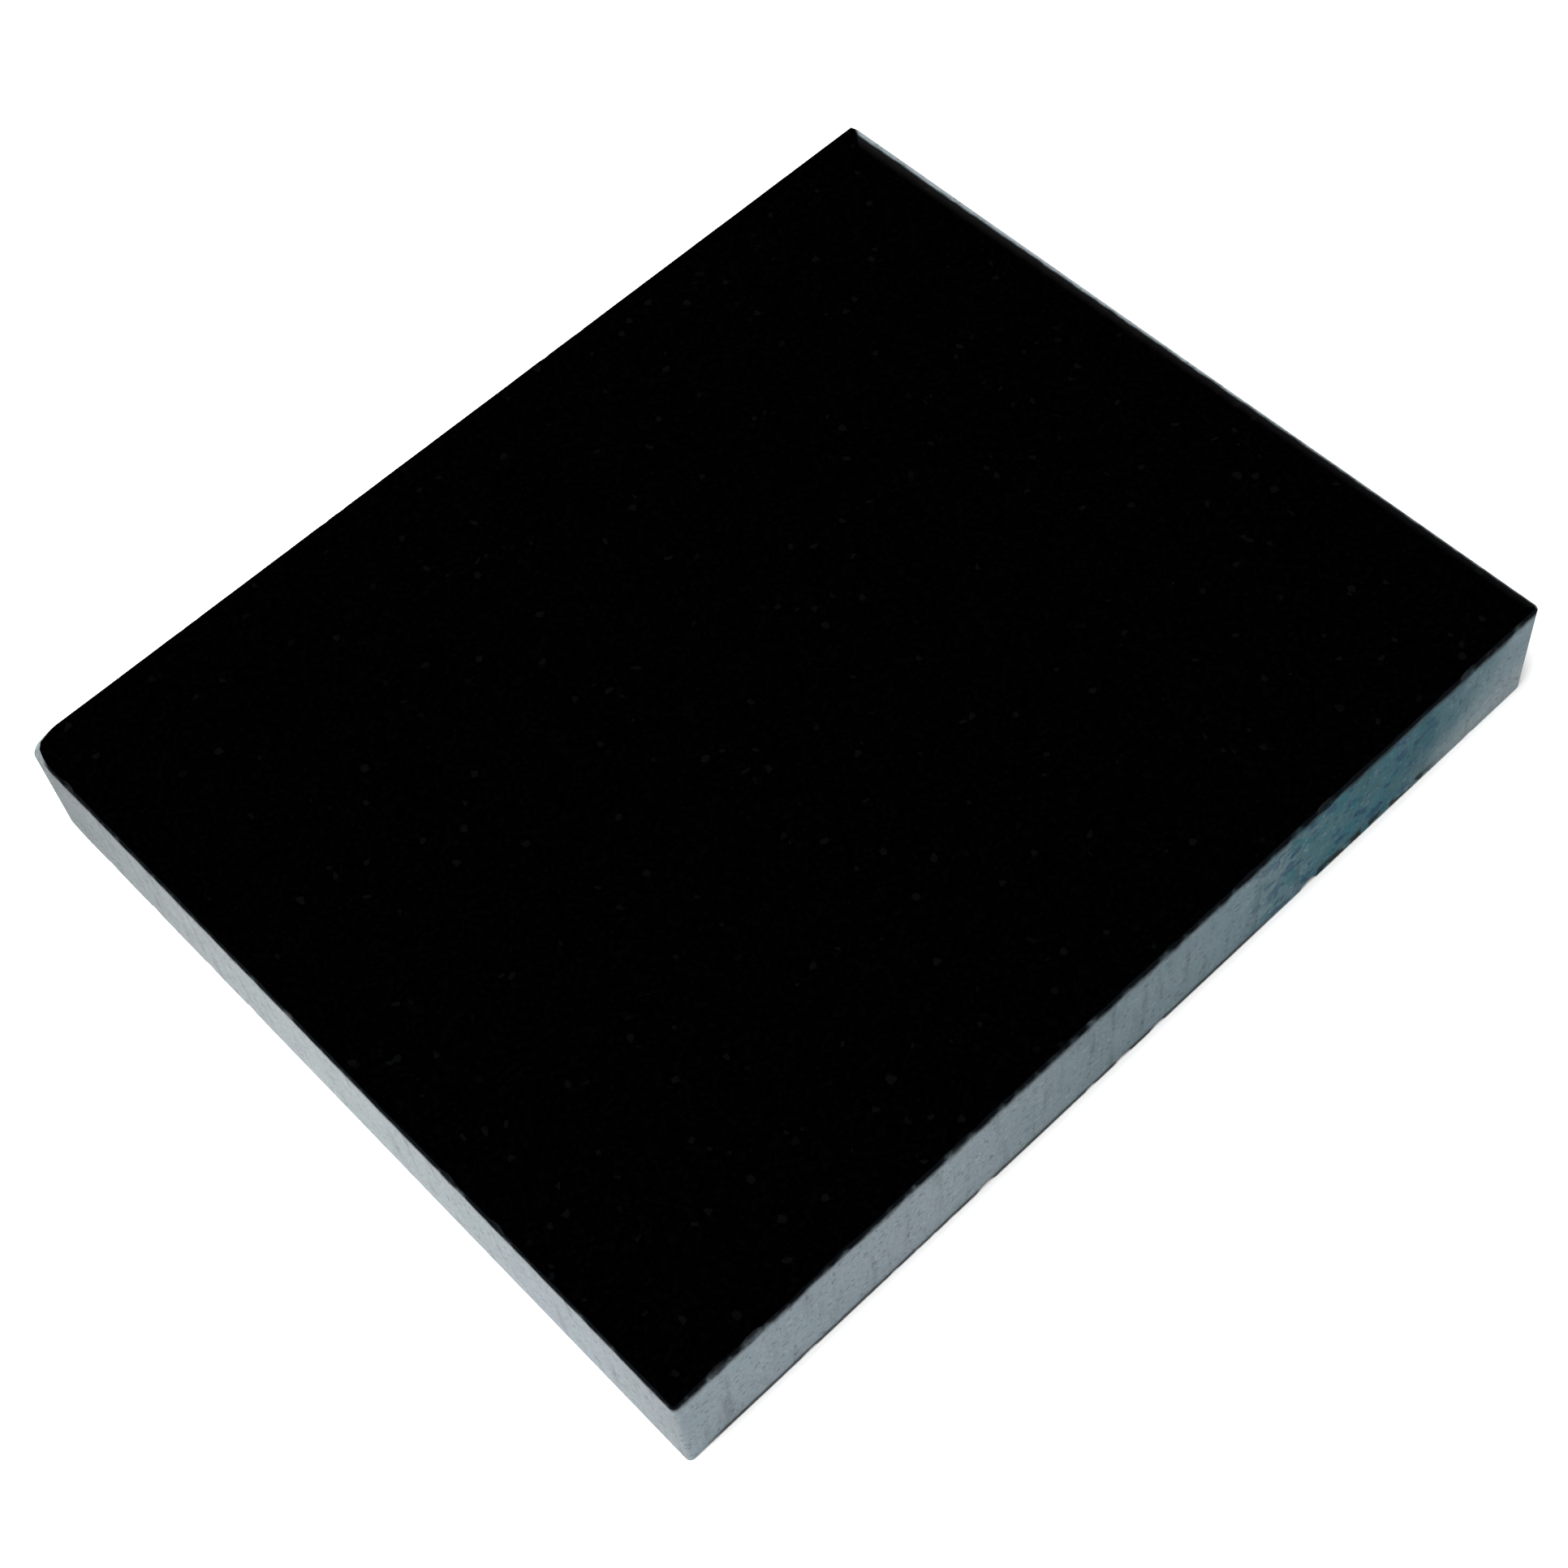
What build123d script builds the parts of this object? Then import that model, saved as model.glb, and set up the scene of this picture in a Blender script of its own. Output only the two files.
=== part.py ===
from build123d import *
import os

# A granite slab for stamping and tooling leather: one block of black stone, sawn from a
# 30 mm slab, with its upper face polished and its sides left as the saw cut them.
# X runs along the length, Y along the width, and Z up through the thickness. The origin
# is the middle of the underside, which is the face that lies on the bench. All in mm.

# Driving dimensions
LENGTH = 250.0
WIDTH = 210.0
THICKNESS = 30.0

# How far each kind of edge is worn or ground back from the sharp corner
POLISHED_ARRIS = 0.8     # flat bevel round the polished face, so that leather isn't cut on it
UNDERSIDE_ARRIS = 0.5    # flat bevel round the underside
UPRIGHT_EASE = 1.2       # radius of the three upright edges that are nearly sharp
BLUNT_EASE = 3.0         # radius of the fourth, at low X and high Y, which has been knocked round


def plan_outline():
    """The slab seen from above: a rectangle with three crisp corners and one blunt one."""
    rectangle = Rectangle(LENGTH, WIDTH)
    blunt = rectangle.vertices().sort_by_distance((-LENGTH / 2, WIDTH / 2))[0]
    crisp = [corner for corner in rectangle.vertices() if corner != blunt]
    eased = fillet(crisp, UPRIGHT_EASE)
    blunt = eased.vertices().sort_by_distance((-LENGTH / 2, WIDTH / 2))[0]
    return fillet(blunt, BLUNT_EASE)


def granite_slab():
    """The whole block: the outline made THICKNESS deep, with a bevel round both flat faces."""
    block = extrude(plan_outline(), THICKNESS)
    upper_rim = block.faces().sort_by(Axis.Z)[-1].edges()
    block = chamfer(upper_rim, POLISHED_ARRIS)
    lower_rim = block.faces().sort_by(Axis.Z)[0].edges()
    return chamfer(lower_rim, UNDERSIDE_ARRIS)


def write_nodes(nodes):
    """One STEP file for each separate piece of the object."""
    os.makedirs("parts", exist_ok=True)
    for name, solid in nodes.items():
        solid.label = name
        export_step(solid, f"parts/{name}.step")


write_nodes({"granite_slab": granite_slab()})
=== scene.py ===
import math
import random

import bpy
from mathutils import Euler, Matrix, Vector, noise


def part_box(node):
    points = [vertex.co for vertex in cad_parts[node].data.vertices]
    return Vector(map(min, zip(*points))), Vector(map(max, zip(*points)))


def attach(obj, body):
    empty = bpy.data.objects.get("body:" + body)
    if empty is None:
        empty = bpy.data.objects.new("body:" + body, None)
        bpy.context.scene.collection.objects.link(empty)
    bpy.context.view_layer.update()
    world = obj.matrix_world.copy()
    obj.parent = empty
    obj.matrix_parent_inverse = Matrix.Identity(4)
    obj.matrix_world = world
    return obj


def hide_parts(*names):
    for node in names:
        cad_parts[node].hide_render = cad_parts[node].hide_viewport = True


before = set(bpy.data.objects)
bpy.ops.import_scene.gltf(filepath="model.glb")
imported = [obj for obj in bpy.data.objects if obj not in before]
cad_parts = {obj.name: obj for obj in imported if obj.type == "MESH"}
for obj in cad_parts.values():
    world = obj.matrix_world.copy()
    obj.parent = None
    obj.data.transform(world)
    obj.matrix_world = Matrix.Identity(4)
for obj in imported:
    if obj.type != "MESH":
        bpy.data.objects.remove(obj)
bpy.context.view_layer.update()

# A slab of black granite: one block with a polished top, sawn sides and underside, and small
# chips along its edges. The CAD node gives the block's size and place, and this script builds
# the stone's surface inside that box. The stone's lengths are written in millimetres and turned
# into metres with MM, the shaders work in millimetres, and the studio's lengths are in metres.
MM = 0.001
NODE = "granite_slab"
LOW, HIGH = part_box(NODE)


# ---------------------------------------------------------------- outline of the block

# The four sides in order, counter-clockwise seen from above, each with its outward normal
FRONT, END, BACK, START = range(4)
NORMALS = (Vector((0, -1)), Vector((1, 0)), Vector((0, 1)), Vector((-1, 0)))
# Radius of the upright edge that follows each side; the one after BACK has been knocked round
CORNER_RADII = (1.2 * MM, 1.2 * MM, 3.0 * MM, 1.2 * MM)
CRISP_CORNERS = (FRONT, END, START)
SMALLEST_RADIUS = 0.3 * MM
SAMPLE_STEP = 0.45 * MM
ARC_STEPS = 6
BLUNT_ARC_STEPS = 20


class Sample:
    """One place on the way round the block."""

    def __init__(self, side, along, turn, distance):
        self.side = side          # the side it lies on, or that it has just left on a corner
        self.along = along        # 0 to 1 along the straight part of the side
        self.turn = turn          # 0 on a side, rising to 1 round the corner that follows it
        self.distance = distance  # metres from the start of the front side; a corner adds nothing


def corner(side):
    """The sharp corner where this side ends."""
    ends = ((HIGH.x, LOW.y), (HIGH.x, HIGH.y), (LOW.x, HIGH.y), (LOW.x, LOW.y))
    return Vector(ends[side])


def corner_centre(side, inset):
    """Centre and radius of the round corner after a side, on an outline inset that far."""
    radius = max(CORNER_RADII[side] - inset, SMALLEST_RADIUS)
    inwards = -(NORMALS[side] + NORMALS[(side + 1) % 4])
    return corner(side) + inwards * (inset + radius), radius


def walk_round():
    """Every sample on the way round, evenly spaced on the sides and closer on the corners."""
    samples, distance = [], 0.0
    for side in range(4):
        length = (corner(side) - corner(side - 1)).length
        count = round(length / SAMPLE_STEP)
        for i in range(count):
            samples.append(Sample(side, i / count, 0.0, distance + length * i / count))
        distance += length
        steps = BLUNT_ARC_STEPS if side == BACK else ARC_STEPS
        for i in range(steps):
            samples.append(Sample(side, 1.0, i / steps, distance))
    return samples


def place(sample, inset, extra=0.0):
    """Point and outward normal of a sample on an inset outline, then pushed in by extra."""
    centre, radius = corner_centre(sample.side, inset)
    normal = NORMALS[sample.side].copy()
    if sample.along < 1.0:
        before, before_radius = corner_centre((sample.side - 1) % 4, inset)
        first = before + normal * before_radius
        point = first.lerp(centre + normal * radius, sample.along)
    else:
        normal.rotate(Matrix.Rotation(sample.turn * math.pi / 2, 2))
        point = centre + normal * radius
    return point - normal * extra, normal


# ---------------------------------------------------------------- worn edges

class Wear:
    """How one side's edge is worn: the bevel on it, how far that wanders, and its chips."""

    def __init__(self, bevel, wander, chip_gap, chip_half_length, chip_depth, slope=1.1, last=None):
        self.bevel = bevel
        self.last_bevel = bevel if last is None else last    # it widens or narrows to this
        self.slope = slope    # how far down the bevel goes for each metre in
        self.wander = wander
        self.chip_gap = chip_gap    # from one chip to the next, on average
        self.chip_half_length = chip_half_length    # shortest and longest
        self.chip_depth = chip_depth    # as a share of half its length


# One for each side: bevel, wander, gap between chips, their half lengths and their depth
UPPER_WEAR = (
    Wear(0.60 * MM, 0.30 * MM, 6.0 * MM, (0.8 * MM, 3.6 * MM), 0.21),
    Wear(0.70 * MM, 0.12 * MM, 26.0 * MM, (0.6 * MM, 1.6 * MM), 0.28, slope=0.45, last=2.20 * MM),
    Wear(0.30 * MM, 0.05 * MM, 16.0 * MM, (0.5 * MM, 1.4 * MM), 0.28),
    Wear(0.50 * MM, 0.20 * MM, 9.0 * MM, (0.6 * MM, 3.0 * MM), 0.26),
)
LOWER_WEAR = (
    Wear(0.50 * MM, 0.12 * MM, 12.0 * MM, (0.8 * MM, 2.8 * MM), 0.40),
    Wear(0.40 * MM, 0.10 * MM, 15.0 * MM, (0.6 * MM, 2.4 * MM), 0.40),
    Wear(0.40 * MM, 0.10 * MM, 15.0 * MM, (0.6 * MM, 2.4 * MM), 0.40),
    Wear(0.25 * MM, 0.08 * MM, 18.0 * MM, (0.6 * MM, 2.0 * MM), 0.35),
)
BLUNT_BEVEL = 1.9 * MM        # the bevel is this wide round the blunt corner
BLUNT_REACH = 8.0 * MM        # and narrows to the side's own over this distance
DEEPEST_ON_CORNER = 0.9 * MM  # an edge is cut no deeper than this round a crisp corner
CORNER_EASE = 0.6             # how much deeper it may get for each metre away from that corner
NARROWEST = 0.12 * MM         # no bevel is narrower than this
WANDER_LENGTH = 9.0 * MM      # from one wide place on a bevel to the next
FINE_WANDER = 3.1             # how many times closer the finer wander is
LONG_CHIPS_RARE = 2.5         # the higher, the fewer chips are long
DEPTH_SPREAD = (0.6, 1.3)     # a chip's depth, against the usual one for its length
DROP_SPREAD = (0.9, 2.0)      # how far down a chip goes, against how far in
LEAN = 0.35                   # how far a chip's deepest place may be off its middle
BLUNT_ENDS = 0.6              # how suddenly a chip ends: 1 gently, 0 in a step
RAGGED = 0.22                 # how uneven a chip's rim is, as a share of its depth
RAG_LENGTH = 0.8 * MM         # from one tooth of that rim to the next
UPPER_SEED, LOWER_SEED = 11, 23


def side_of_wear(sample, wear):
    """The bevel, wander and slope at a sample, which change smoothly from one side to the next."""
    here, after = wear[sample.side], wear[(sample.side + 1) % 4]
    bevel = here.bevel + (here.last_bevel - here.bevel) * sample.along
    bevel += (after.bevel - here.last_bevel) * sample.turn
    wander = here.wander + (after.wander - here.wander) * sample.turn
    slope = here.slope + (after.slope - here.slope) * sample.turn
    point, _ = place(sample, 0.0)
    near = max(0.0, 1.0 - (point - corner(BACK)).length / BLUNT_REACH)
    return bevel + (BLUNT_BEVEL - bevel) * near * near * (3 - 2 * near), wander, slope


def deepest_cut(sample):
    """The deepest cut that fits at a sample. Past its own radius, a crisp corner would fold over."""
    point, _ = place(sample, 0.0)
    limits = []
    for side in CRISP_CORNERS:
        away = max((point - corner(side)).length - CORNER_RADII[side], 0.0)
        limits.append(DEEPEST_ON_CORNER + CORNER_EASE * away)
    return min(limits)


def worn_edge(samples, wear, seed):
    """For each sample, how far the edge is cut in, how far down, and 1 if that is a chip, or 0."""
    chance = random.Random(seed)
    cut_in, cut_down, chipped = [], [], []
    for sample in samples:
        bevel, wander, slope = side_of_wear(sample, wear)
        point, _ = place(sample, 0.0)
        spot = Vector((point.x, point.y, seed)) / WANDER_LENGTH
        width = bevel + wander * (noise.noise(spot) + 0.5 * noise.noise(spot * FINE_WANDER))
        cut_in.append(max(width, NARROWEST))
        cut_down.append(max(width, NARROWEST) * slope)
        chipped.append(0.0)
    for side in range(4):
        on_side = [i for i, s in enumerate(samples) if s.side == side]
        first, last = samples[on_side[0]].distance, samples[on_side[-1]].distance
        middle = first
        while True:
            middle += chance.expovariate(1 / wear[side].chip_gap)
            if middle > last:
                break
            shortest, longest = wear[side].chip_half_length
            half = shortest + (longest - shortest) * chance.random() ** LONG_CHIPS_RARE
            depth = half * wear[side].chip_depth * chance.uniform(*DEPTH_SPREAD)
            drop = depth * chance.uniform(*DROP_SPREAD)
            lean = chance.uniform(-LEAN, LEAN)
            for i in on_side:
                x = (samples[i].distance - middle) / half
                x = x - lean * (1 - x * x)
                if abs(x) >= 1:
                    continue
                share = (1 - x * x) ** BLUNT_ENDS
                rag = 1 + RAGGED * noise.noise(Vector((samples[i].distance / RAG_LENGTH, seed, 7)))
                if depth * share * rag > cut_in[i]:
                    cut_in[i] = depth * share * rag
                    chipped[i] = 1.0
                cut_down[i] = max(cut_down[i], drop * share * rag)
    for i, sample in enumerate(samples):
        cut_in[i] = min(cut_in[i], deepest_cut(sample))
    return cut_in, cut_down, chipped


# ---------------------------------------------------------------- the block's mesh

EDGE_STEPS = 5               # steps across an edge, between its flat face and the side
SIDE_STEPS = 14              # steps up a side, between its two edges
SCOOP = 0.65                 # how hollow a chip is, from 0, flat, to 1, a quarter round
BORDER = 7.0 * MM            # from the outline to the innermost row of a flat face
SAW_WAVE = 0.06 * MM         # how far a sawn side wanders from flat
SAW_WAVE_LENGTH = 22 * MM
SHARP_ANGLE = math.radians(28)
# Material slots. SAWN and CHIPPED are each the first of four, one for every side.
POLISHED, UNDERSIDE, SAWN, CHIPPED = 0, 1, 2, 6


def edge_row(samples, edge, share, face_z, inwards):
    """One row along a worn edge. Share is how far across it: 0 on the side, 1 on the flat face."""
    row = []
    for sample, cut_in, cut_down, chip in zip(samples, *edge):
        hollow = SCOOP * chip
        across = share + (math.sin(share * math.pi / 2) - share) * hollow
        down = (1 - share) + (math.cos(share * math.pi / 2) - (1 - share)) * hollow
        point, _ = place(sample, 0.0, cut_in * across)
        row.append((point.x, point.y, face_z + inwards * cut_down * down))
    return row


def side_row(samples, share, lower, upper):
    """One row round the sides. Share is between 0, at the lower edge, and 1, at the upper one."""
    row = []
    for sample, low_cut, high_cut in zip(samples, lower[1], upper[1]):
        z = (LOW.z + low_cut) * (1 - share) + (HIGH.z - high_cut) * share
        flat, _ = place(sample, 0.0)
        spot = Vector((flat.x, flat.y, z))
        wave = 0.5 + 0.5 * noise.noise(spot / SAW_WAVE_LENGTH)
        wave *= math.sin(share * math.pi) ** 0.5
        point, _ = place(sample, 0.0, SAW_WAVE * wave)
        row.append((point.x, point.y, z))
    return row


def flat_row(samples, inset, z):
    """One row on a flat face, that far inside the outline."""
    row = []
    for sample in samples:
        point, _ = place(sample, inset)
        row.append((point.x, point.y, z))
    return row


def all_rows(samples, lower, upper):
    """The rows from the underside up to the top, and the kind of each band between two of them."""
    rows, kinds = [flat_row(samples, BORDER, LOW.z)], []
    for i in range(EDGE_STEPS, -1, -1):
        rows.append(edge_row(samples, lower, i / EDGE_STEPS, LOW.z, 1))
        kinds.append("flat_low" if i == EDGE_STEPS else "edge_low")
    for i in range(1, SIDE_STEPS):
        rows.append(side_row(samples, i / SIDE_STEPS, lower, upper))
        kinds.append("side")
    for i in range(EDGE_STEPS + 1):
        rows.append(edge_row(samples, upper, i / EDGE_STEPS, HIGH.z, -1))
        kinds.append("side" if i == 0 else "edge_high")
    rows.append(flat_row(samples, BORDER, HIGH.z))
    kinds.append("flat_high")
    return rows, kinds


def slot_of(kind, sample, chip):
    """The material slot of a band's face beside a sample."""
    if kind == "flat_high":
        return POLISHED
    if kind == "flat_low":
        return UNDERSIDE
    side = sample.side if sample.turn < 0.5 else (sample.side + 1) % 4
    return (CHIPPED if chip else SAWN) + side


def build_block():
    """The whole closed surface: underside, lower edge, sides, upper edge and polished top."""
    samples = walk_round()
    upper = worn_edge(samples, UPPER_WEAR, UPPER_SEED)
    lower = worn_edge(samples, LOWER_WEAR, LOWER_SEED)
    rows, kinds = all_rows(samples, lower, upper)
    chips = {"edge_low": lower[2], "edge_high": upper[2]}

    count = len(samples)
    points = [point for row in rows for point in row]
    faces, slots = [], []
    for row, kind in enumerate(kinds):
        first, above = row * count, (row + 1) * count
        for i in range(count):
            j = (i + 1) % count
            faces.append((first + i, first + j, above + j, above + i))
            chip = kind in chips and (chips[kind][i] or chips[kind][j])
            slots.append(slot_of(kind, samples[i], chip))
    # Each flat face is closed by a fan from its middle
    middle = ((LOW.x + HIGH.x) / 2, (LOW.y + HIGH.y) / 2)
    first_of_top = (len(rows) - 1) * count
    points.append((*middle, HIGH.z))
    points.append((*middle, LOW.z))
    top_middle, under_middle = len(points) - 2, len(points) - 1
    for i in range(count):
        j = (i + 1) % count
        faces.append((first_of_top + i, first_of_top + j, top_middle))
        slots.append(POLISHED)
        faces.append((j, i, under_middle))
        slots.append(UNDERSIDE)

    mesh = bpy.data.meshes.new("granite_slab_stone")
    mesh.from_pydata(points, [], faces)
    mesh.polygons.foreach_set("material_index", slots)
    mesh.shade_smooth()
    mesh.set_sharp_from_angle(angle=SHARP_ANGLE)
    mesh.update()
    stone = bpy.data.objects.new("granite_slab_stone", mesh)
    bpy.context.scene.collection.objects.link(stone)
    return stone


# ---------------------------------------------------------------- shader helpers

NOISE_ROUGHNESS = 0.55


def linear(red, green, blue):
    """A colour as a screen shows it, 0 to 255, as the linear colour that a shader takes."""
    def one(value):
        value /= 255
        return value / 12.92 if value <= 0.04045 else ((value + 0.055) / 1.055) ** 2.4
    return (one(red), one(green), one(blue), 1.0)


class Nodes:
    """A material's node tree, with short names for the nodes used here."""

    def __init__(self, name):
        self.material = bpy.data.materials.new(name)
        self.material.use_nodes = True
        self.tree = self.material.node_tree
        self.shader = self.tree.nodes["Principled BSDF"]
        place_in = self.new("ShaderNodeTexCoord").outputs["Object"]
        in_mm = self.new("ShaderNodeVectorMath", operation="SCALE")
        in_mm.inputs["Scale"].default_value = 1 / MM
        self.link(place_in, in_mm.inputs[0])
        self.mm = in_mm.outputs["Vector"]
        split = self.new("ShaderNodeSeparateXYZ")
        self.link(self.mm, split.inputs[0])
        self.x, self.y, self.z = split.outputs

    def new(self, kind, **settings):
        node = self.tree.nodes.new(kind)
        for key, value in settings.items():
            setattr(node, key, value)
        return node

    def link(self, source, target):
        self.tree.links.new(source, target)

    def put(self, value, target):
        """A number, a colour or another node's output into a socket."""
        if isinstance(value, bpy.types.NodeSocket):
            self.link(value, target)
        else:
            target.default_value = value

    def math(self, operation, a, b=0.0):
        node = self.new("ShaderNodeMath", operation=operation)
        self.put(a, node.inputs[0])
        self.put(b, node.inputs[1])
        return node.outputs[0]

    def stretch(self, factors):
        """The place in millimetres, with each axis multiplied by its factor."""
        node = self.new("ShaderNodeVectorMath", operation="MULTIPLY")
        self.link(self.mm, node.inputs[0])
        node.inputs[1].default_value = factors
        return node.outputs[0]

    def noise(self, size, detail=3.0, factors=None):
        """Noise with lumps about size mm across, from about 0 to 1.

        A factor below 1 draws the lumps out along its axis.
        """
        node = self.new("ShaderNodeTexNoise")
        self.link(self.stretch(factors) if factors else self.mm, node.inputs["Vector"])
        node.inputs["Scale"].default_value = 1 / size
        node.inputs["Detail"].default_value = detail
        node.inputs["Roughness"].default_value = NOISE_ROUGHNESS
        return node.outputs["Fac"]

    def grains(self, size):
        """Grains about size mm across: a random number for each, and the distance from its middle."""
        node = self.new("ShaderNodeTexVoronoi")
        self.link(self.mm, node.inputs["Vector"])
        node.inputs["Scale"].default_value = 1 / size
        split = self.new("ShaderNodeSeparateColor")
        self.link(node.outputs["Color"], split.inputs[0])
        return split.outputs[0], node.outputs["Distance"]

    def wander(self, size, reach, detail=3.0):
        """A length that wanders either side of 0, by up to about half of reach."""
        return self.math("MULTIPLY", self.math("SUBTRACT", self.noise(size, detail), 0.5), reach)

    def span(self, value, start, end, low=0.0, high=1.0):
        """Eased from low, where value is start, to high, where it is end, and held beyond both."""
        node = self.new("ShaderNodeMapRange", interpolation_type="SMOOTHSTEP")
        self.put(value, node.inputs["Value"])
        limits = {"From Min": start, "From Max": end, "To Min": low, "To Max": high}
        for key, number in limits.items():
            self.put(number, node.inputs[key])
        return node.outputs["Result"]

    def mix(self, share, a, b, how="MIX"):
        """Colour a where share is 0, changing to colour b where it is 1."""
        node = self.new("ShaderNodeMix", data_type="RGBA", blend_type=how, clamp_factor=True)
        self.put(share, node.inputs[0])
        self.put(a, node.inputs[6])
        self.put(b, node.inputs[7])
        return node.outputs[2]

    def ramp(self, value, stops):
        """Colours along a value: stops are pairs of place and colour."""
        node = self.new("ShaderNodeValToRGB")
        self.link(value, node.inputs[0])
        elements = node.color_ramp.elements
        while len(elements) < len(stops):
            elements.new(0.5)
        for element, (position, colour) in zip(elements, stops):
            element.position = position
            element.color = colour
        return node.outputs["Color"]

    def bump(self, height, depth, strength=1.0):
        """A bump with height 0 to 1 standing for depth mm."""
        node = self.new("ShaderNodeBump")
        node.inputs["Strength"].default_value = strength
        node.inputs["Distance"].default_value = depth * MM
        self.link(height, node.inputs["Height"])
        self.link(node.outputs["Normal"], self.shader.inputs["Normal"])


# ---------------------------------------------------------------- the stone's materials

BLACK = (0.0, 0.0, 0.0, 1.0)
WHITE = (1.0, 1.0, 1.0, 1.0)
GREEN_TINT = (0.90, 1.00, 0.96, 1.0)
LILAC_TINT = (0.97, 0.94, 1.00, 1.0)
# Screen colours, 0 to 255
POLISH_DARK = (0.3, 0.3, 0.4)
POLISH_CRYSTAL = (1.5, 1.5, 2)
POLISH_GLINT = (5, 5.5, 6)
WRAPPED_POLISH = (2, 5, 8)    # the black just below the top edge
TEAL = (36, 90, 100)
DEEP_BLUE = (22, 64, 88)
WARM_GREY = (135, 145, 148)
UNDERSIDE_GREY = (128, 137, 141)

POLISH_IOR = 1.5
SAWN_GLOSS = 0.05             # how much a cut face shines, against 0.5 for a glossy one
CHIP_ROUGHNESS = 0.6
UNDERSIDE_ROUGHNESS = 0.75
CHIP_DARKENING = 0.5          # how far broken stone is darkened from the sawn face beside it
SAW_CENTRE = (90.0, -620.0, 0.0)   # mm, the middle of the saw's arcs on the underside
SAW_ARCS = 0.45               # how close the arcs are, per mm of radius
BARE_CORNER = (9.0, 4.0)      # mm from the blunt corner where the wrapped polish thins, and is gone
# Shares of the way along the front, from low X: a thing comes in over the first two of its
# shares and goes out over the next two
STAIN = (0.60, 0.71), (0.93, 0.82)    # the last two run backwards, as in the next two rows
# Where the painted contact shadow lies along the front's lower edge: its dark line, then its
# near-black spots
PAINTED_SHADOW_LINE = (0.01, 0.04), (0.70, 0.63)
PAINTED_SHADOW_SPOTS = (0.70, 0.74), (0.89, 0.86)
WARM_END = (0.81, 0.93)


def polished_top():
    """Black granite polished to a mirror: almost no colour, with faint crystals under the gloss."""
    n = Nodes("polished_black_granite")
    crystal, _ = n.grains(0.9)
    glint, _ = n.grains(1.3)
    base = n.mix(n.span(crystal, 0.5, 1.0), linear(*POLISH_DARK), linear(*POLISH_CRYSTAL))
    base = n.mix(n.span(glint, 0.988, 0.995), base, linear(*POLISH_GLINT))
    n.put(base, n.shader.inputs["Base Color"])
    n.put(n.span(n.noise(30.0, 4.0), 0.3, 0.75, 0.04, 0.075), n.shader.inputs["Roughness"])
    n.shader.inputs["IOR"].default_value = POLISH_IOR
    n.bump(n.noise(45.0, 2.0), 0.02, 0.4)
    return n.material


def dust(n, colour):
    """Crystals, cloudy patches and saw streaks over the even colour of a cut face."""
    # Each crystal is darker by its own small amount
    crystal, _ = n.grains(0.55)
    colour = n.mix(n.span(crystal, 0.0, 1.0, 0.0, 0.16), colour, BLACK)
    # A few flakes are dark and a few are pale
    flake, _ = n.grains(0.8)
    colour = n.mix(n.span(flake, 0.92, 0.97, 0.0, 0.30), colour, BLACK)
    colour = n.mix(n.span(flake, 0.06, 0.02, 0.0, 0.045), colour, WHITE)
    cloud = n.noise(11.0, 3.0)
    colour = n.mix(n.span(cloud, 0.5, 0.75, 0.0, 0.5), colour, GREEN_TINT, "MULTIPLY")
    colour = n.mix(n.span(cloud, 0.5, 0.3, 0.0, 0.5), colour, LILAC_TINT, "MULTIPLY")
    # The streaks run up and down
    streak = n.noise(2.6, 3.0, factors=(1.0, 1.0, 0.12))
    return n.mix(n.span(streak, 0.5, 0.8, 0.0, 0.3), colour, BLACK)


def shaded(colour, gain):
    """The albedo that shows as this screen colour where a white surface would show as gain."""
    return tuple(min(c / gain, 1.0) for c in linear(*colour)[:3]) + (1.0,)


def along_front(n, start, end):
    """0 to 1 between two shares of the way along the front, from low X to high X."""
    length = (HIGH.x - LOW.x) / MM
    return n.span(n.x, LOW.x / MM + start * length, LOW.x / MM + end * length)


def part_of_front(n, shares):
    """1 on one part of the front, fading to 0 at both its ends."""
    come_in, go_out = shares
    return n.math("MULTIPLY", along_front(n, *come_in), along_front(n, *go_out))


class Cut:
    """How the stone looks on one sawn side: its colours from end to end, as they show on screen."""

    def __init__(self, name, axis, start, end, gain, fade, wave, tones):
        self.name = name
        self.axis = axis      # the one that the side runs along, from start to end
        self.start, self.end = start, end
        self.gain = gain      # how bright a white surface facing that way shows on screen
        self.fade = fade      # mm below the top where the wrapped polish starts to go, and is gone
        self.wave = wave      # mm between that line's highest and lowest places
        self.tones = tones    # shares of the way along, each with its colour


CUTS = {
    FRONT: Cut("front", "x", LOW.x, HIGH.x, gain=1.04, fade=(0.3, 3.0), wave=3.4, tones=(
        (0.00, (135, 147, 154)), (0.30, (130, 142, 148)), (0.45, (109, 124, 130)),
        (0.64, (100, 119, 126)), (0.72, (58, 93, 101)), (0.86, (44, 81, 91)),
        (0.95, (100, 120, 127)), (1.00, (116, 132, 139)),
    )),
    END: Cut("end", "y", LOW.y, HIGH.y, gain=1.05, fade=(0.05, 0.6), wave=0.5, tones=(
        (0.0, (126, 137, 141)), (0.4, (139, 148, 151)), (1.0, (134, 144, 148)),
    )),
    BACK: Cut("back", "x", LOW.x, HIGH.x, gain=1.05, fade=(0.3, 2.6), wave=1.0, tones=(
        (0.0, (132, 142, 146)), (0.5, (140, 149, 153)), (1.0, (128, 138, 143)),
    )),
    # Painted light: this side's colours are set lighter than the other sides' to stand in for more
    # light on the -X side than the studio lamp gives; the stone itself is the same grey on every side
    START: Cut("start", "y", LOW.y, HIGH.y, gain=1.52, fade=(0.3, 2.8), wave=2.8, tones=(
        (0.00, (162, 170, 175)), (0.12, (174, 183, 188)), (0.30, (176, 185, 189)),
        (0.55, (182, 190, 192)), (0.75, (170, 177, 180)), (0.88, (154, 162, 164)),
        (1.00, (138, 146, 149)),
    )),
}


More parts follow.
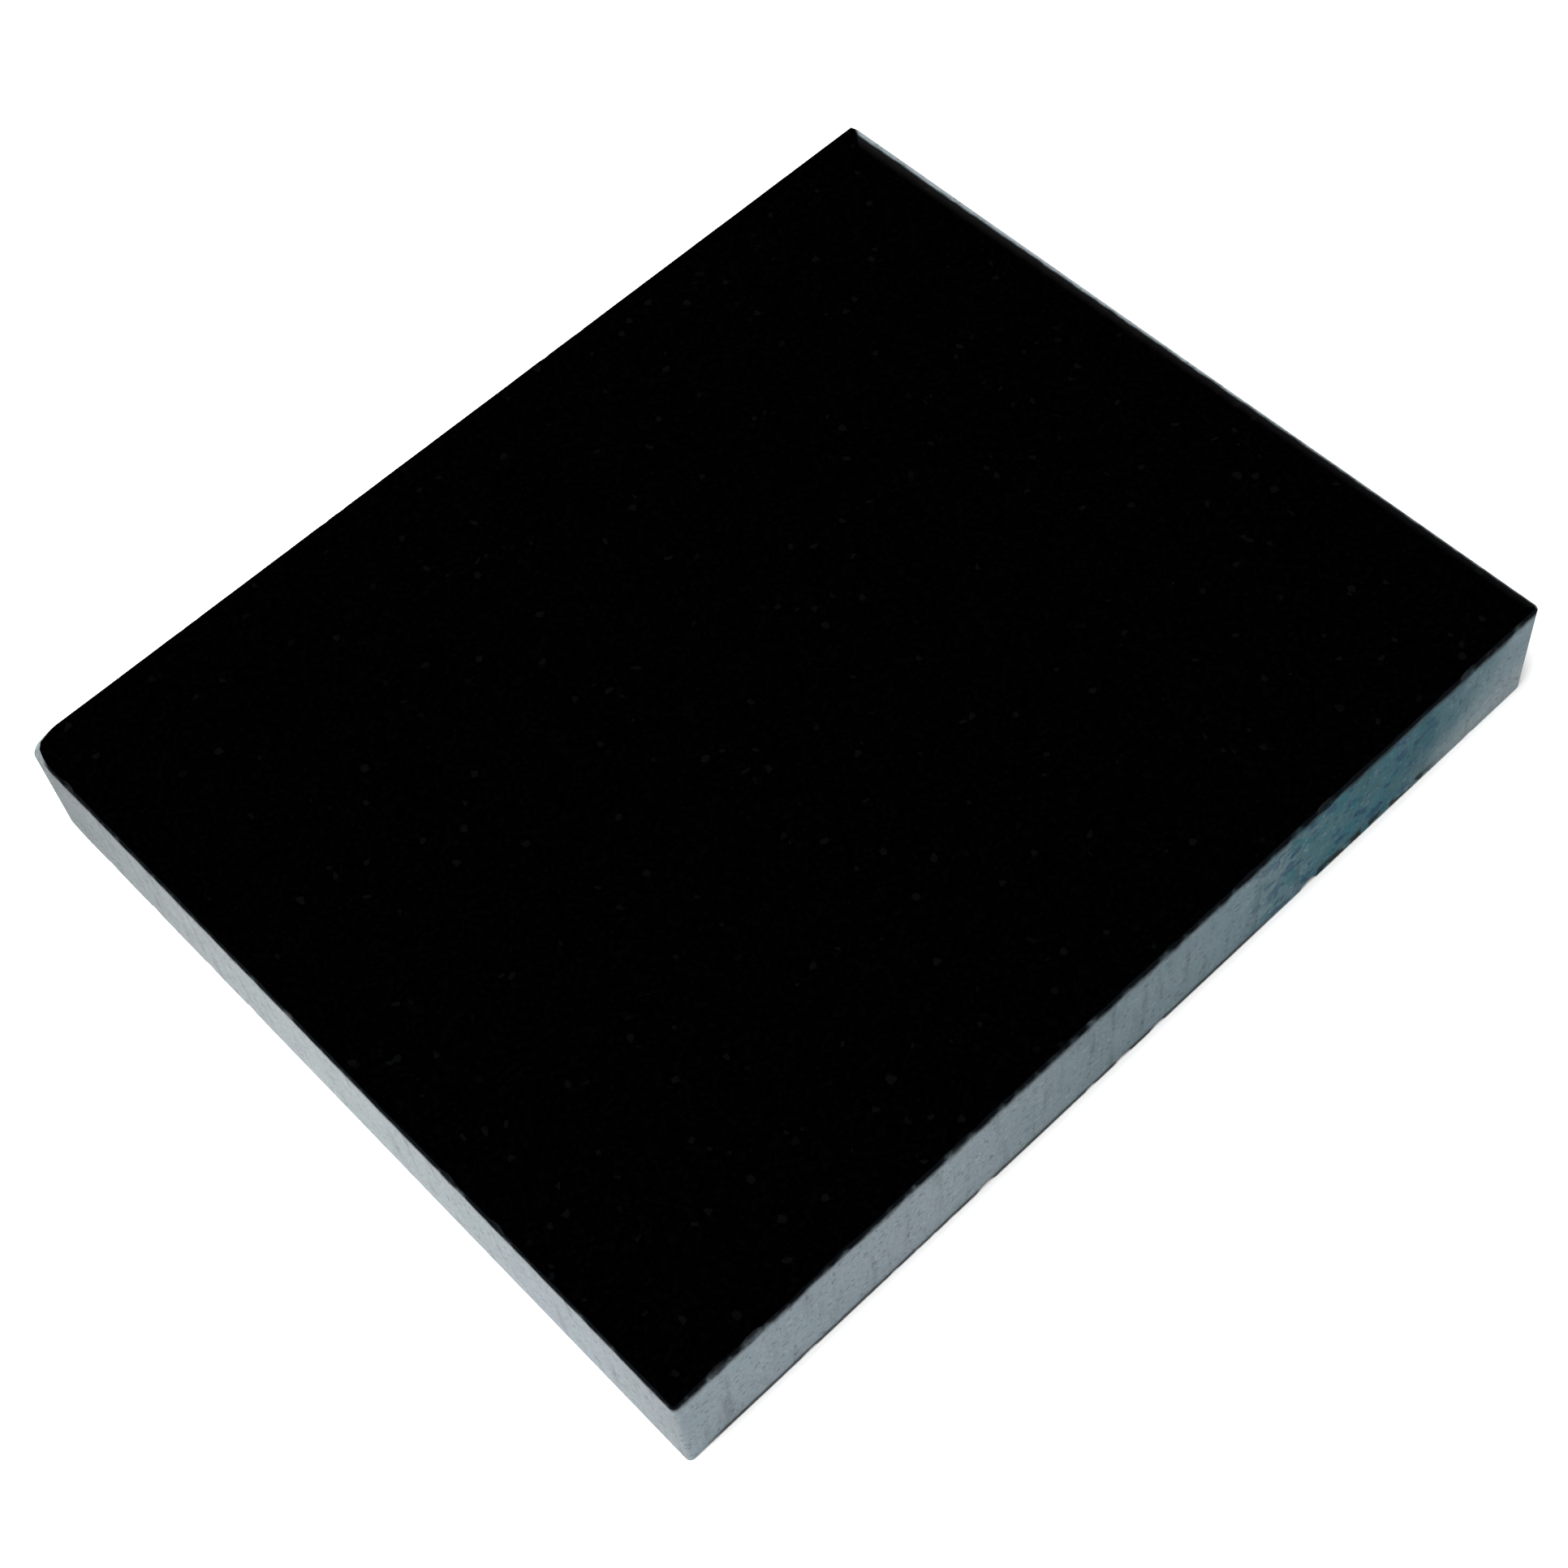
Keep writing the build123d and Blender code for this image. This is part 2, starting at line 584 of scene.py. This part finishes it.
def sawn_colour(n, cut):
    """The colour of one sawn side with its grain, before its two edges are dealt with."""
    axis = {"x": n.x, "y": n.y}[cut.axis]
    share = n.new("ShaderNodeMapRange")
    n.put(n.math("ADD", axis, n.wander(9.0, 20.0, 2.0)), share.inputs["Value"])
    share.inputs["From Min"].default_value = cut.start / MM
    share.inputs["From Max"].default_value = cut.end / MM
    tones = [(position, shaded(colour, cut.gain)) for position, colour in cut.tones]
    colour = n.ramp(share.outputs["Result"], tones)
    if cut.name == "front":
        colour = stain(n, colour, cut.gain)
    return dust(n, colour)


def stain(n, colour, gain):
    """The teal and blue blotches towards the high-X end of the front, and the warm corner below."""
    here = part_of_front(n, STAIN)
    blotch = n.span(n.noise(5.0, 3.0, factors=(1.0, 1.0, 0.8)), 0.47, 0.62)
    blotch = n.math("MULTIPLY", here, n.math("MULTIPLY", blotch, 0.75))
    colour = n.mix(blotch, colour, shaded(TEAL, gain))
    spot = n.span(n.noise(5.5, 2.0, factors=(1.0, 1.0, 1.2)), 0.53, 0.62)
    spot = n.math("MULTIPLY", here, n.math("MULTIPLY", spot, 0.85))
    colour = n.mix(spot, colour, shaded(DEEP_BLUE, gain))
    height = n.math("ADD", n.z, n.wander(7.0, 14.0))
    low = n.math("MULTIPLY", n.span(height, 17.0, 3.0), along_front(n, *WARM_END))
    return n.mix(n.math("MULTIPLY", low, 0.65), colour, shaded(WARM_GREY, gain))


def fade_to_polish(n, colour, cut):
    """Black just below the top, down to a wavy line, where the polish wraps over the edge."""
    start, end = cut.fade
    wave = n.wander(5.0, cut.wave)
    depth = n.math("ADD", n.math("SUBTRACT", HIGH.z / MM, n.z), wave)
    # The blunt corner, at low X and high Y, has none of it left
    to_corner = n.math("SUBTRACT", (HIGH.y - LOW.x) / MM, n.math("SUBTRACT", n.y, n.x))
    depth = n.math("ADD", depth, n.span(to_corner, *BARE_CORNER, 0.0, end))
    return n.mix(n.span(depth, start, end), linear(*WRAPPED_POLISH), colour)


def painted_contact_shadow(n, colour):
    """A painted contact shadow along the front's lower edge: a dark, ragged line, and beyond it a few
    near-black spots of the same painted shade.
    """
    height = n.math("ADD", n.z, n.wander(3.0, 1.2))
    line = n.math("MULTIPLY", part_of_front(n, PAINTED_SHADOW_LINE), 0.78)
    colour = n.mix(n.math("MULTIPLY", n.span(height, 2.6, 1.2), line), colour, BLACK)
    shadow_spot = n.math("MULTIPLY", n.span(n.noise(4.5, 2.0), 0.49, 0.55), n.span(height, 4.4, 2.2))
    shadow_spots_here = n.math("MULTIPLY", part_of_front(n, PAINTED_SHADOW_SPOTS), 0.9)
    return n.mix(n.math("MULTIPLY", shadow_spot, shadow_spots_here), colour, BLACK)


def sawn_side(cut):
    """One side as the saw left it, with fine lines along it and small pits; on the front, also a
    painted contact shadow along the lower edge.
    """
    n = Nodes("sawn_granite_" + cut.name)
    colour = fade_to_polish(n, sawn_colour(n, cut), cut)
    # Only the front gets the painted contact shadow along its lower edge
    if cut.name == "front":
        colour = painted_contact_shadow(n, colour)
    n.put(colour, n.shader.inputs["Base Color"])
    n.put(n.span(n.noise(6.0), 0.3, 0.7, 0.62, 0.78), n.shader.inputs["Roughness"])
    n.shader.inputs["Specular IOR Level"].default_value = SAWN_GLOSS
    lines = n.noise(1.3, 2.0, factors=(0.04, 0.04, 1.0))
    _, pits = n.grains(0.9)
    n.bump(n.math("ADD", lines, n.math("MULTIPLY", pits, 0.5)), 0.08, 0.6)
    return n.material


def chipped(cut):
    """Broken stone on the edges of one side: darker than the sawn face and with no saw marks."""
    n = Nodes("chipped_granite_" + cut.name)
    colour = fade_to_polish(n, n.mix(CHIP_DARKENING, sawn_colour(n, cut), BLACK), cut)
    n.put(colour, n.shader.inputs["Base Color"])
    n.shader.inputs["Roughness"].default_value = CHIP_ROUGHNESS
    n.shader.inputs["Specular IOR Level"].default_value = SAWN_GLOSS
    n.bump(n.noise(1.0, 4.0), 0.25, 0.8)
    return n.material


def sawn_underside():
    """The underside as the saw left it: grey, with shallow arcs from the blade's sweep."""
    n = Nodes("sawn_granite_underside")
    colour = dust(n, shaded(UNDERSIDE_GREY, 1.0))
    centre = n.new("ShaderNodeVectorMath", operation="SUBTRACT")
    n.link(n.mm, centre.inputs[0])
    centre.inputs[1].default_value = SAW_CENTRE
    radius = n.new("ShaderNodeVectorMath", operation="LENGTH")
    n.link(centre.outputs["Vector"], radius.inputs[0])
    arcs = n.new("ShaderNodeTexNoise", noise_dimensions="1D")
    n.link(radius.outputs["Value"], arcs.inputs["W"])
    arcs.inputs["Scale"].default_value = SAW_ARCS
    arcs.inputs["Detail"].default_value = 3.0
    sweep = arcs.outputs["Fac"]
    colour = n.mix(n.span(sweep, 0.45, 0.7, 0.0, 0.25), colour, BLACK)
    n.put(colour, n.shader.inputs["Base Color"])
    n.shader.inputs["Roughness"].default_value = UNDERSIDE_ROUGHNESS
    n.shader.inputs["Specular IOR Level"].default_value = SAWN_GLOSS
    n.bump(sweep, 0.12, 0.7)
    return n.material


# ---------------------------------------------------------------- studio

FLOOR_SIZE = 60.0
FLOOR_GAP = 0.1 * MM         # keeps the floor just clear of the stone
FLOOR_COLOUR = (0.86, 0.86, 0.86, 1)
FLOOR_ROUGHNESS = 0.9
KEY_ANGLE = math.radians(38)
KEY_STRENGTH = 6.0
KEY_ELEVATION = 72
KEY_AZIMUTH = -90            # from the -X side
# Elevation in degrees, and how bright the sky is there
SKY = ((1, 1.0), (7, 0.45), (20, 0.30), (37, 0.0))


def facing(azimuth, elevation):
    """The direction from the object towards a place at that azimuth and elevation, in degrees."""
    a, e = math.radians(azimuth), math.radians(elevation)
    return Vector((math.sin(a) * math.cos(e), -math.cos(a) * math.cos(e), math.sin(e)))


def make_floor():
    half = FLOOR_SIZE / 2
    mesh = bpy.data.meshes.new("floor")
    z = LOW.z - FLOOR_GAP
    corners = [(-half, -half, z), (half, -half, z), (half, half, z), (-half, half, z)]
    mesh.from_pydata(corners, [], [(0, 1, 2, 3)])
    floor = bpy.data.objects.new("floor", mesh)
    bpy.context.scene.collection.objects.link(floor)
    material = bpy.data.materials.new("pale_floor")
    material.use_nodes = True
    shader = material.node_tree.nodes["Principled BSDF"]
    shader.inputs["Base Color"].default_value = FLOOR_COLOUR
    shader.inputs["Roughness"].default_value = FLOOR_ROUGHNESS
    shader.inputs["Specular IOR Level"].default_value = 0.0
    floor.data.materials.append(material)


def make_key():
    light = bpy.data.lights.new("key", "SUN")
    light.energy = KEY_STRENGTH
    light.angle = KEY_ANGLE
    lamp = bpy.data.objects.new("key", light)
    lamp.rotation_mode = "QUATERNION"
    lamp.rotation_quaternion = facing(KEY_AZIMUTH, KEY_ELEVATION).to_track_quat("Z", "Y")
    lamp.visible_glossy = False
    bpy.context.scene.collection.objects.link(lamp)


def make_world():
    """A studio that is pale near the horizon and dark overhead, so that the polish stays black."""
    world = bpy.data.worlds.new("studio")
    bpy.context.scene.world = world
    world.use_nodes = True
    tree = world.node_tree
    direction = tree.nodes.new("ShaderNodeTexCoord").outputs["Generated"]
    split = tree.nodes.new("ShaderNodeSeparateXYZ")
    tree.links.new(direction, split.inputs[0])
    glow = tree.nodes.new("ShaderNodeValToRGB")
    tree.links.new(split.outputs["Z"], glow.inputs[0])
    elements = glow.color_ramp.elements
    while len(elements) < len(SKY):
        elements.new(0.5)
    for element, (elevation, level) in zip(elements, SKY):
        element.position = math.sin(math.radians(elevation))
        element.color = (level, level, level, 1)
    tree.links.new(glow.outputs["Color"], tree.nodes["Background"].inputs["Color"])


# From above, over the corner between FRONT and START
CAMERA_AZIMUTH = -36.28
CAMERA_ELEVATION = 57.94
CAMERA_ROLL = -8.33          # degrees, turning the camera's right side downwards
CAMERA_DISTANCE = 0.5838
CAMERA_LENS = 64.0
CAMERA_SENSOR = 36.0
CAMERA_AIM = Vector((-0.0173, -0.0208, HIGH.z))


def make_camera():
    camera = bpy.data.objects.new("camera", bpy.data.cameras.new("camera"))
    camera.data.lens = CAMERA_LENS
    camera.data.sensor_width = CAMERA_SENSOR
    back = facing(CAMERA_AZIMUTH, CAMERA_ELEVATION)
    camera.location = CAMERA_AIM + back * CAMERA_DISTANCE
    turn = back.to_track_quat("Z", "Y") @ Euler((0, 0, math.radians(CAMERA_ROLL))).to_quaternion()
    camera.rotation_mode = "QUATERNION"
    camera.rotation_quaternion = turn
    camera.data.clip_start = 0.01
    bpy.context.scene.collection.objects.link(camera)
    bpy.context.scene.camera = camera


# ---------------------------------------------------------------- put together

make_camera()
make_floor()
make_world()
make_key()
bpy.context.scene.view_settings.view_transform = "Standard"

stone = build_block()
finishes = [polished_top(), sawn_underside()]
finishes += [sawn_side(CUTS[side]) for side in range(4)]
finishes += [chipped(CUTS[side]) for side in range(4)]
for finish in finishes:
    stone.data.materials.append(finish)
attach(stone, "root")
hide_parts(NODE)
